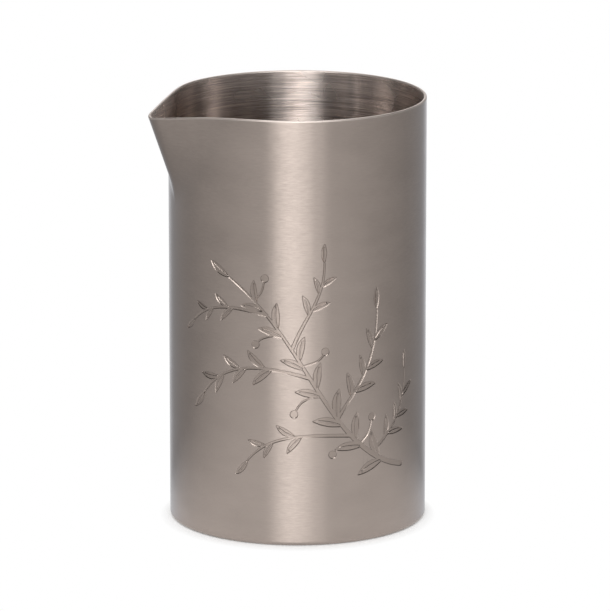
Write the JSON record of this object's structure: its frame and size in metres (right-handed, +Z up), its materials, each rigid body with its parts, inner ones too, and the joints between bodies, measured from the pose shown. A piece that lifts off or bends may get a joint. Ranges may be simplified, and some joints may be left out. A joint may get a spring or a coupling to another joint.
{
  "type": "mixing tin",
  "caption": "Straight-sided double-walled steel mixing tin with a pinched pouring spout in its rounded lip and a flat foot, for stirring and pouring drinks.",
  "frame": {"origin": "centre of the flat foot, on the axis of the round body", "axes": "+Z up along the body's axis, -X towards the tip of the spout, +Y to complete a right-handed frame"},
  "size_m": [0.0991, 0.09, 0.15],
  "materials": {
    "satin_steel": "satin, brushed around the body",
    "liner_steel": "brushed around the inside",
    "base_steel": "turned in fine rings",
    "lip_steel": "ground and polished weld"
  },
  "bodies": {
    "root": {"outer_shell": "satin_steel", "inner_liner": "liner_steel", "base_cap": "base_steel", "rim_weld": "lip_steel", "foot_weld": "lip_steel"}
  },
  "joints": []
}
